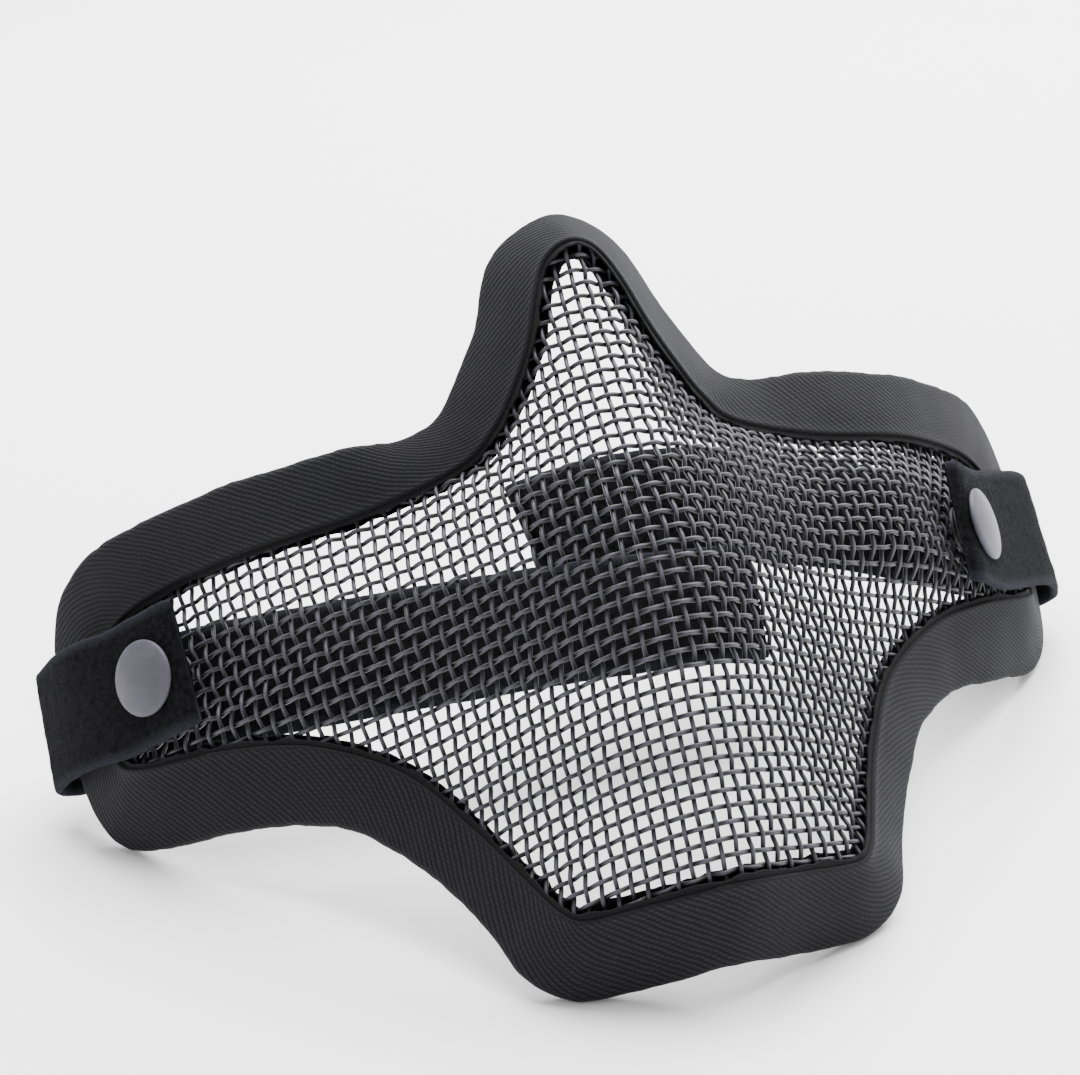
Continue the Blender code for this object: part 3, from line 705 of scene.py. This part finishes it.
def make_binding():
    inner, outer, normal = edge_loops(14)
    run = run_length((inner + outer) / 2, closed=True)
    length = run[-1]
    verts, along, across, plain = [], [], [], []
    for i, (start, end, out) in enumerate(zip(inner, outer, normal)):
        width = np.linalg.norm(end - start)
        ahead = (end - start) / width
        ripple = 0.10 * wobble(run[i], 17.0, 7) + 0.05 * wobble(run[i], 5.0, 8)
        section = binding_section(width + ripple, 0.18 + 0.08 * wobble(run[i], 23.0, 9))
        middle = start - out * BINDING_THICKNESS / 2
        places = np.array([(a, b) for a, b, _ in section])
        verts.extend(middle + ahead * a + out * b for a, b in places)
        walk = run_length(places)
        along.extend([run[i]] * len(section))
        across.extend(walk)
        plain.extend(c for _, _, c in section)
    size = len(section)
    obj = new_piece("edge_tape", to_world(verts), ring_faces(len(inner), size, closed_rows=True), TWILL, 50.0)
    whole_ribs = round(length / RIB_PERIOD) * RIB_PERIOD
    point_value(obj, "tape_along", np.array(along) * whole_ribs / length)
    point_value(obj, "tape_across", across)
    point_value(obj, "tape_plain", plain)
    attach(obj, "root")
    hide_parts("edge_binding")


def make_dark_edge_strip():
    """A narrow near-black strip that shows between the tape's edge and the wires, front and back."""
    inner, outer, normal = edge_loops(14)
    run = run_length(inner, closed=True)[:-1]
    ahead = unit(outer - inner)
    parts = []
    for face in (1, -1):
        reach = 1.15 + 0.18 * wobble(run, 9.0, 31 + face) + 0.10 * wobble(run, 3.0, 41 + face)
        seat = inner - normal * BINDING_THICKNESS / 2
        low, high = 1.02, 1.55
        section = ((0.9, low), (0.9, high), (-0.4, high),
                   (-1.0, high - 0.12), (-1.0, low + 0.12), (-0.9, low))
        rows = []
        for a, b in section:
            shift = ahead * (a * reach)[:, None] if a < 0 else ahead * a
            rows.append(seat + shift + normal * b * face)
        verts = np.stack(rows, axis=1).reshape(-1, 3)
        parts.append((verts, ring_faces(len(inner), len(section), closed_rows=True)))
    verts, faces = gather(parts)
    obj = new_piece("dark_edge_strip", to_world(verts), faces, DARK_FUZZ, 60.0)
    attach(obj, "root")


# ---------------------------------------------------------------- straps

def fold_geometry():
    """The bend round the wing end, in X and N: centre, radius and the binding's two directions."""
    inner, outer = (np.array([p[0], p[2]], float) for p in EDGE[FOLD_STATION])
    along = unit(outer - inner)
    out = np.array([-along[1], along[0]])
    half = BINDING_THICKNESS / 2
    centre = outer - along * (half - FOLD_SLACK) - out * half
    return centre, half + FOLD_SLACK + WEBBING_THICKNESS / 2, along, out


def fold_points(side, count=25):
    centre, radius, along, out = fold_geometry()
    points = []
    for turn in np.radians(np.linspace(-90.0, 90.0, count)):
        x, n = centre + radius * (math.cos(turn) * along - math.sin(turn) * out)
        points.append((side * x, FOLD_V, n))
    return np.array(points)


def even(curve, step):
    """The curve cut into equal steps."""
    run = run_length(curve)
    marks = np.linspace(0.0, run[-1], max(2, round(run[-1] / step)) + 1)
    return np.column_stack([np.interp(marks, run, curve[:, k]) for k in range(3)])


def mirrored(path, side):
    return [(side * x, v, n) for x, v, n in path]


def flap_points(side):
    foot, axis = snap_line(side)
    inward = np.array((-axis[2], 0.0, axis[0])) / math.hypot(axis[0], axis[2])
    run = []
    for reach, lift, drift in FLAP_RUN[side]:
        run.append(tuple(foot + axis * (FLAP_RISE + lift) + inward * reach + np.array((0.0, drift, 0.0))))
    start = fold_points(side)[0]
    return catmull_rom([start] + mirrored(list(FLAP_OVER_BINDING[side]) + run, side), 10, closed=False)


def flap_ups(side, path):
    """Across the flap: along V at the bend, easing to square with the snap's axis."""
    _, axis = snap_line(side)
    across = np.array((-side * axis[0] * axis[1], 1.0 - axis[1] ** 2, -axis[2] * axis[1]))
    share = smoothstep(0.0, 20.0, path[:, 2] - fold_points(side)[0][2])[:, None]
    return np.array((0.0, 1.0, 0.0)) * (1 - share) + across * share


def rear_points(side):
    path = RIGHT_REAR_PATH if side > 0 else LEFT_REAR_PATH
    return catmull_rom([fold_points(side)[-1]] + mirrored(path, side), 12, closed=False)


def webbing(path, width, thickness, seed, round_end, ups=None):
    """A soft flat strip along a path: rounded edges, an uneven nap and slightly wavy sides."""
    ahead = unit(np.gradient(path, axis=0))
    up = np.broadcast_to((0.0, 1.0, 0.0), path.shape) if ups is None else ups
    side = unit(up - ahead * (ahead * up).sum(axis=1)[:, None])
    out = np.cross(side, ahead)
    run = run_length(path)
    half_w, half_t = width / 2, thickness / 2
    corner = half_t * 0.98
    turns = np.linspace(0, math.pi / 2, 5)
    edge = [(half_w - corner + corner * math.sin(t), corner * math.cos(t) + half_t - corner) for t in turns]
    flat = [(w, half_t) for w in np.linspace(-(half_w - corner), half_w - corner, 17)[1:-1]]
    top = [(-a, b) for a, b in edge[::-1]] + flat + edge
    section = np.array(top + [(a, -b) for a, b in top[::-1]])
    verts = []
    for i, (point, s_dir, o_dir) in enumerate(zip(path, side, out)):
        to_end = run[-1] - run[i]
        shrink = 1.0 - 0.03 * (1 - smoothstep(0.0, 1.6, to_end)) if round_end else 1.0
        thin = 1.0 - 0.45 * (1 - smoothstep(0.0, 0.8, to_end)) if round_end else 1.0
        for a, b in section:
            rim = smoothstep(half_w - 3.5, half_w, abs(a))
            wavy = 0.07 * rim * wobble(run[i], 14.0, seed + int(a > 0))
            nap = 0.07 * wobble(run[i] + 3.1 * a, 6.0, seed + 5)
            nap += 0.05 * wobble(a * 1.7 - run[i], 4.0, seed + 6)
            lift = b * thin + math.copysign(nap, b) * (1 - rim)
            verts.append(point + s_dir * (a * shrink + math.copysign(wavy, a)) + o_dir * lift)
    verts = np.array(verts)
    size = len(section)
    faces = ring_faces(len(path), size)
    faces.append(tuple(range(size)))
    faces.append(tuple(len(verts) - 1 - k for k in range(size)))
    return verts, faces


def fuzz(points, normals, length, seed):
    """Short tapered fibres that stand off a nap."""
    rng = np.random.default_rng(seed)
    parts = []
    for point, normal in zip(points, normals):
        lean = unit(normal + rng.normal(0, 0.55, 3))
        across = unit(np.cross(lean, rng.normal(0, 1, 3)))
        other = np.cross(lean, across)
        reach = length * rng.uniform(0.45, 1.2)
        spokes = [(across * math.cos(a) + other * math.sin(a)) * FIBRE_RADIUS for a in (0.0, 2.1, 4.2)]
        base = [point + spoke - lean * 0.1 for spoke in spokes]
        bend = point + lean * reach * 0.6 + across * rng.normal(0, 0.08)
        middle = [bend + spoke * 0.8 for spoke in spokes]
        tip = point + lean * reach + across * rng.normal(0, 0.2)
        faces = [(0, 1, 4, 3), (1, 2, 5, 4), (2, 0, 3, 5), (3, 4, 6), (4, 5, 6), (5, 3, 6), (2, 1, 0)]
        parts.append((np.array(base + middle + [tip]), faces))
    return gather(parts)


def scatter(verts, faces, count, seed):
    """Random points on the quads of a strip, with outward normals."""
    rng = np.random.default_rng(seed)
    quads = np.array([f for f in faces if len(f) == 4])
    corners = verts[quads]
    normal = np.cross(corners[:, 2] - corners[:, 0], corners[:, 3] - corners[:, 1])
    area = np.linalg.norm(normal, axis=1)
    picked = rng.choice(len(quads), count, p=area / area.sum())
    u, w = rng.uniform(size=(2, count, 1))
    c = corners[picked]
    points = (c[:, 0] * (1 - u) + c[:, 1] * u) * (1 - w) + (c[:, 3] * (1 - u) + c[:, 2] * u) * w
    return points, unit(normal[picked])


def outward(verts, faces):
    """True when a strip's quads face out of it."""
    quads = np.array([f for f in faces if len(f) == 4])
    corners = verts[quads]
    normal = np.cross(corners[:, 2] - corners[:, 0], corners[:, 3] - corners[:, 1])
    return float((corners.mean(axis=1) * normal).sum()) > 0


def edge_share(path, verts):
    """0 over the middle of the webbing, 1 at its two edges and at its cut end."""
    size = len(verts) // len(path)
    offset = np.linalg.norm(verts.reshape(len(path), size, 3) - path[:, None, :], axis=2)
    return smoothstep(WEBBING_WIDTH / 2 - 2.3, WEBBING_WIDTH / 2 - 0.2, offset).reshape(-1)


def strip_piece(name, path, seed, fibres, thickness, ups=None):
    verts, faces = webbing(path, WEBBING_WIDTH, thickness, seed, True, ups)
    if not outward(verts, faces):
        faces = [tuple(reversed(f)) for f in faces]
    # where the webbing's material paints its sheen on the rims
    rim = edge_share(path, verts)
    points, normals = scatter(verts, faces, fibres, seed)
    body = len(verts)
    verts, faces = gather([(verts, faces), fuzz(points, normals, FIBRE_LENGTH, seed)])
    obj = new_piece(name, to_world(verts), faces, VELOUR)
    # the fibres get a share of the painted sheen on the rims
    point_value(obj, "rim", np.concatenate([rim, np.full(len(verts) - body, 0.35)]))
    return obj


def make_straps():
    for side, word in SIDES:
        bend = fold_points(side)
        flap = flap_points(side)
        path = even(np.vstack([bend[::-1], flap[1:]]), 0.8)
        front = strip_piece(f"{word}_strap_front", path, 60 + side, FRONT_FIBRES, 1.8, flap_ups(side, path))
        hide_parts(f"{word}_strap_fold", f"{word}_strap_flap")
        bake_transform(front)

        rear_path = rear_points(side)
        rear = strip_piece(f"{word}_strap_back", even(rear_path, 1.0), 80 + side, BACK_FIBRES, 1.6)
        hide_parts(f"{word}_strap_rear")
        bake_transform(rear)


# ---------------------------------------------------------------- snaps

def lathe(name, profile, mat, side, steps=96):
    """A turned piece about a snap's axis, from radii and heights in millimetres."""
    foot, axis = snap_line(side)
    origin = np.array((side * foot[0], foot[1], foot[2]))
    axis = np.array((side * axis[0], axis[1], axis[2]))
    across = unit(np.cross(axis, (1.0, 0.0, 0.0)))
    other = np.cross(axis, across)
    verts, radii = [], []
    for r, z in profile:
        r = max(r, 0.01)
        for k in range(steps):
            a = math.tau * k / steps
            verts.append(origin + axis * z + (across * math.cos(a) + other * math.sin(a)) * r)
            radii.append(r)
    faces = ring_faces(len(profile), steps)
    faces.append(tuple(range(steps)))
    faces.append(tuple(len(verts) - 1 - k for k in range(steps)))
    obj = new_piece(name, to_world(verts), faces, mat, 40.0)
    point_value(obj, "cap_radius", radii)
    tidy_normals(obj)
    return obj


def tidy_normals(obj):
    bm = bmesh.new()
    bm.from_mesh(obj.data)
    bmesh.ops.recalc_face_normals(bm, faces=bm.faces)
    bm.to_mesh(obj.data)
    bm.free()


def cap_profile():
    """Rolled rim, then a slightly domed face."""
    r, base = CAP_RADIUS, CAP_BASE
    profile = [(2.3, base + 0.35), (r - 0.9, base + 0.25), (r - 0.45, base)]
    for a in np.linspace(-math.pi / 2, math.pi / 3, 8):
        profile.append((r - 0.45 + 0.45 * math.cos(a), base + 0.5 + 0.5 * math.sin(a)))
    top = profile[-1][1]
    for share in np.linspace(0.92, 0.0, 14):
        profile.append((r * share, top + CAP_RISE * (1.02 - share ** 2) * 0.9))
    return profile


def make_caps():
    for side, word in SIDES:
        cap = lathe(f"{word}_cap", cap_profile(), CAP, side)
        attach(cap, f"{word}_flap")
        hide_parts(f"{word}_snap_cap")
        for piece in ("socket", "stud", "post"):
            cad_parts[f"{word}_snap_{piece}"].material_slots[0].material = STEEL


# ---------------------------------------------------------------- hook and loop patches

def patch_path(side):
    curve = rear_points(side)
    run = run_length(curve)
    marks = np.linspace(run[-1] - PATCH_LENGTH - 2.0, run[-1] - 2.0, 45)
    path = np.column_stack([np.interp(marks, run, curve[:, k]) for k in range(3)])
    along = np.gradient(path, axis=0)
    out = unit(np.cross(np.array([0.0, 1.0, 0.0]), along))
    out *= np.sign(out[:, 2:])
    lift = (WEBBING_THICKNESS + PATCH_THICKNESS) / 2 + PATCH_GAP
    return path + out * (lift if side > 0 else -lift), out * (1 if side > 0 else -1)


def arches(path, out, count, seed, hooked):
    """Tiny loops, or hooks in rows, on a patch's face."""
    rng = np.random.default_rng(seed)
    ahead = unit(np.gradient(path, axis=0))
    parts = []
    for index in range(count):
        if hooked:
            i = 1 + (index // HOOK_COLUMNS) % (len(path) - 2)
            w = (index % HOOK_COLUMNS - (HOOK_COLUMNS - 1) / 2) * HOOK_SPACING
            turn = 0.0
        else:
            i = int(rng.integers(1, len(path) - 1))
            w = rng.uniform(-PATCH_WIDTH / 2 + 0.8, PATCH_WIDTH / 2 - 0.8)
            turn = rng.uniform(0, math.tau)
        up = out[i]
        across = unit(np.cross(up, ahead[i]))
        way = ahead[i] * math.cos(turn) + across * math.sin(turn)
        foot = path[i] + across * w + up * 0.1
        sweep = np.linspace(0.0, math.radians(235 if hooked else 180), 7)
        size = 0.42 if hooked else rng.uniform(0.3, 0.6)
        arc = np.array([foot + way * size * (1 - math.cos(a)) * 0.6 + up * (0.35 + size * math.sin(a))
                        for a in sweep])
        arc[0] = foot
        normal = np.tile(unit(np.cross(way, up)), (len(arc), 1))
        parts.append(tube(arc, normal, 0.085 if hooked else 0.06, 4))
    return gather(parts)


def make_patches():
    for side, name, old, body, slot, mat, hooked, count in (
            (1, "loop_face", "loop_patch", "right_strap", "loop_pile", PILE, False, LOOP_COUNT),
            (-1, "hook_face", "hook_patch", "left_strap", "hook_tape", DARK_FUZZ, True, HOOK_ROWS * HOOK_COLUMNS)):
        path, out = patch_path(side)
        verts, faces = webbing(path, PATCH_WIDTH, PATCH_THICKNESS, 90 + side, False)
        verts, faces = gather([(verts, faces), arches(path, out, count, 95 + side, hooked)])
        obj = new_piece(name, to_world(verts), faces, mat)
        tidy_normals(obj)
        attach(obj, body)
        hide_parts(old)


# ---------------------------------------------------------------- stage

def make_stage():
    mesh = bpy.data.meshes.new("floor")
    size = FLOOR_HALF
    corners = [(-size, -size, 0), (size, -size, 0), (size, size, 0), (-size, size, 0)]
    mesh.from_pydata(corners, [], [(0, 1, 2, 3)])
    mesh.materials.append(floor_material())
    floor = bpy.data.objects.new("floor", mesh)
    bpy.context.collection.objects.link(floor)


def area_light(name, location, target, size, watts):
    data = bpy.data.lights.new(name, "AREA")
    data.shape = "RECTANGLE"
    data.size, data.size_y = size
    data.energy = watts
    light = bpy.data.objects.new(name, data)
    light.location = location
    light.rotation_euler = (Vector(target) - Vector(location)).to_track_quat("-Z", "Y").to_euler()
    bpy.context.collection.objects.link(light)


def make_lights():
    world = bpy.data.worlds.new("studio")
    world.use_nodes = True
    sky = world.node_tree.nodes["Background"]
    sky.inputs["Color"].default_value = (1.0, 1.0, 1.0, 1.0)
    sky.inputs["Strength"].default_value = WORLD_STRENGTH
    bpy.context.scene.world = world
    area_light("top_back", (0.35, 0.55, 1.25), (0.0, 0.0, 0.04), (1.6, 1.6), TOP_WATTS)
    area_light("right_side", (1.1, 0.1, 0.6), (0.02, 0.0, 0.05), (0.8, 0.8), SIDE_WATTS)


def make_camera():
    data = bpy.data.cameras.new("camera")
    data.lens = CAMERA_LENS
    data.sensor_width = 36.0
    data.sensor_fit = "HORIZONTAL"
    data.clip_start, data.clip_end = 0.01, 50.0
    data.dof.use_dof = False
    camera = bpy.data.objects.new("camera", data)
    turn = Matrix(CAMERA_AXES).transposed().to_4x4()
    camera.matrix_world = Matrix.Translation(Vector(CAMERA_AT) * MM) @ turn
    bpy.context.collection.objects.link(camera)
    bpy.context.scene.camera = camera


make_camera()
make_stage()
make_lights()
make_wire_cloth()
make_binding()
make_dark_edge_strip()
make_straps()
make_caps()
make_patches()
